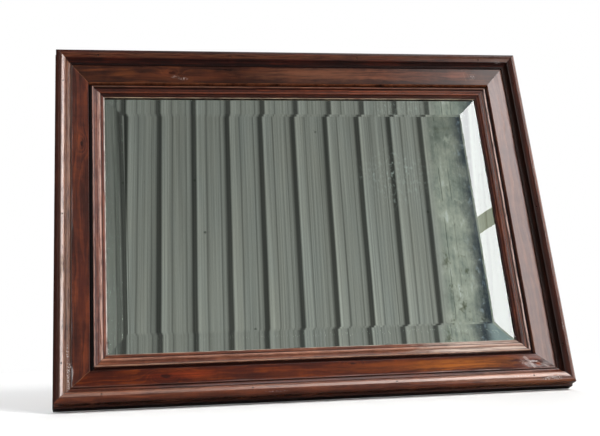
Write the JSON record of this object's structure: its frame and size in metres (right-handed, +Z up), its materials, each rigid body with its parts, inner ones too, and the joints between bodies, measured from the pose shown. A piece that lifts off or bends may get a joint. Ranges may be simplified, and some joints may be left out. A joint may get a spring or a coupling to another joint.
{
  "type": "countertop mirror",
  "caption": "Landscape bevelled mirror in a stained, varnished wooden frame of stacked mouldings, standing on a folding wooden strut, with back board, turn buttons and ring hangers.",
  "frame": {"origin": "middle of the line on which the frame's rear bottom edge touches the countertop, with the strut open", "axes": "+X to the right across the face, the face looks towards -Y and leans back 18 degrees, +Z up from the countertop"},
  "size_m": [0.655, 0.2222, 0.4754],
  "materials": {
    "frieze_wood": "satin varnish",
    "moulding_wood": "satin varnish",
    "base_wood": "satin varnish",
    "strut_wood": "satin varnish",
    "plywood": "bare",
    "cork": "bare",
    "card": "matt",
    "glass": "polished",
    "silvering": "polished",
    "steel": "zinc plated",
    "brass": "brass plated",
    "rubber": "matt"
  },
  "bodies": {
    "frame": {"base_rail_top": "base_wood", "base_rail_bottom": "base_wood", "base_rail_left": "base_wood", "base_rail_right": "base_wood", "outer_moulding_top": "moulding_wood", "outer_moulding_bottom": "moulding_wood", "outer_moulding_left": "moulding_wood", "outer_moulding_right": "moulding_wood", "frieze_top": "frieze_wood", "frieze_bottom": "frieze_wood", "frieze_left": "frieze_wood", "frieze_right": "frieze_wood", "inner_moulding_top": "moulding_wood", "inner_moulding_bottom": "moulding_wood", "inner_moulding_left": "moulding_wood", "inner_moulding_right": "moulding_wood", "mirror_glass": "glass", "silver_coat": "silvering", "spacer_blocks": "cork", "cushion_sheet": "card", "back_board": "plywood", "corner_keys": "steel", "panel_pins": "steel", "turn_button_screws": "brass", "hanger_strap_left": "brass", "hanger_strap_right": "brass", "hanger_screws": "brass", "strut_bracket": "steel", "strut_pin": "steel", "bracket_screws": "steel"},
    "strut": {"strut": "strut_wood", "strut_foot_pad": "rubber"},
    "d_ring_left": {"d_ring_left": "brass"},
    "d_ring_right": {"d_ring_right": "brass"},
    "turn_button_top_left": {"turn_button_top_left": "brass"},
    "turn_button_top_right": {"turn_button_top_right": "brass"},
    "turn_button_bottom_left": {"turn_button_bottom_left": "brass"},
    "turn_button_bottom_right": {"turn_button_bottom_right": "brass"},
    "turn_button_left": {"turn_button_left": "brass"},
    "turn_button_right": {"turn_button_right": "brass"}
  },
  "joints": [
    {"name": "strut_fold", "type": "hinge", "parent": "frame", "child": "strut", "pos_m": [0, 0.10816, 0.31184], "axis": [-1, 0, 0], "range_deg": [0, 32]},
    {"name": "d_ring_left_swing", "type": "hinge", "parent": "frame", "child": "d_ring_left", "pos_m": [-0.2995, 0.11733, 0.35302], "axis": [-1, 0, 0], "range_deg": [0, 150]},
    {"name": "d_ring_right_swing", "type": "hinge", "parent": "frame", "child": "d_ring_right", "pos_m": [0.2995, 0.11733, 0.35302], "axis": [-1, 0, 0], "range_deg": [0, 150]},
    {"name": "turn_button_top_left_turn", "type": "hinge", "parent": "frame", "child": "turn_button_top_left", "pos_m": [-0.15, 0.13709, 0.41915], "axis": [0, 0.9511, -0.309], "continuous": true},
    {"name": "turn_button_top_right_turn", "type": "hinge", "parent": "frame", "child": "turn_button_top_right", "pos_m": [0.15, 0.13709, 0.41915], "axis": [0, 0.9511, -0.309], "continuous": true},
    {"name": "turn_button_bottom_left_turn", "type": "hinge", "parent": "frame", "child": "turn_button_bottom_left", "pos_m": [-0.15, 0.01626, 0.04729], "axis": [0, 0.9511, -0.309], "continuous": true},
    {"name": "turn_button_bottom_right_turn", "type": "hinge", "parent": "frame", "child": "turn_button_bottom_right", "pos_m": [0.15, 0.01626, 0.04729], "axis": [0, 0.9511, -0.309], "continuous": true},
    {"name": "turn_button_left_turn", "type": "hinge", "parent": "frame", "child": "turn_button_left", "pos_m": [-0.2775, 0.07667, 0.23322], "axis": [0, 0.9511, -0.309], "continuous": true},
    {"name": "turn_button_right_turn", "type": "hinge", "parent": "frame", "child": "turn_button_right", "pos_m": [0.2775, 0.07667, 0.23322], "axis": [0, 0.9511, -0.309], "continuous": true}
  ]
}
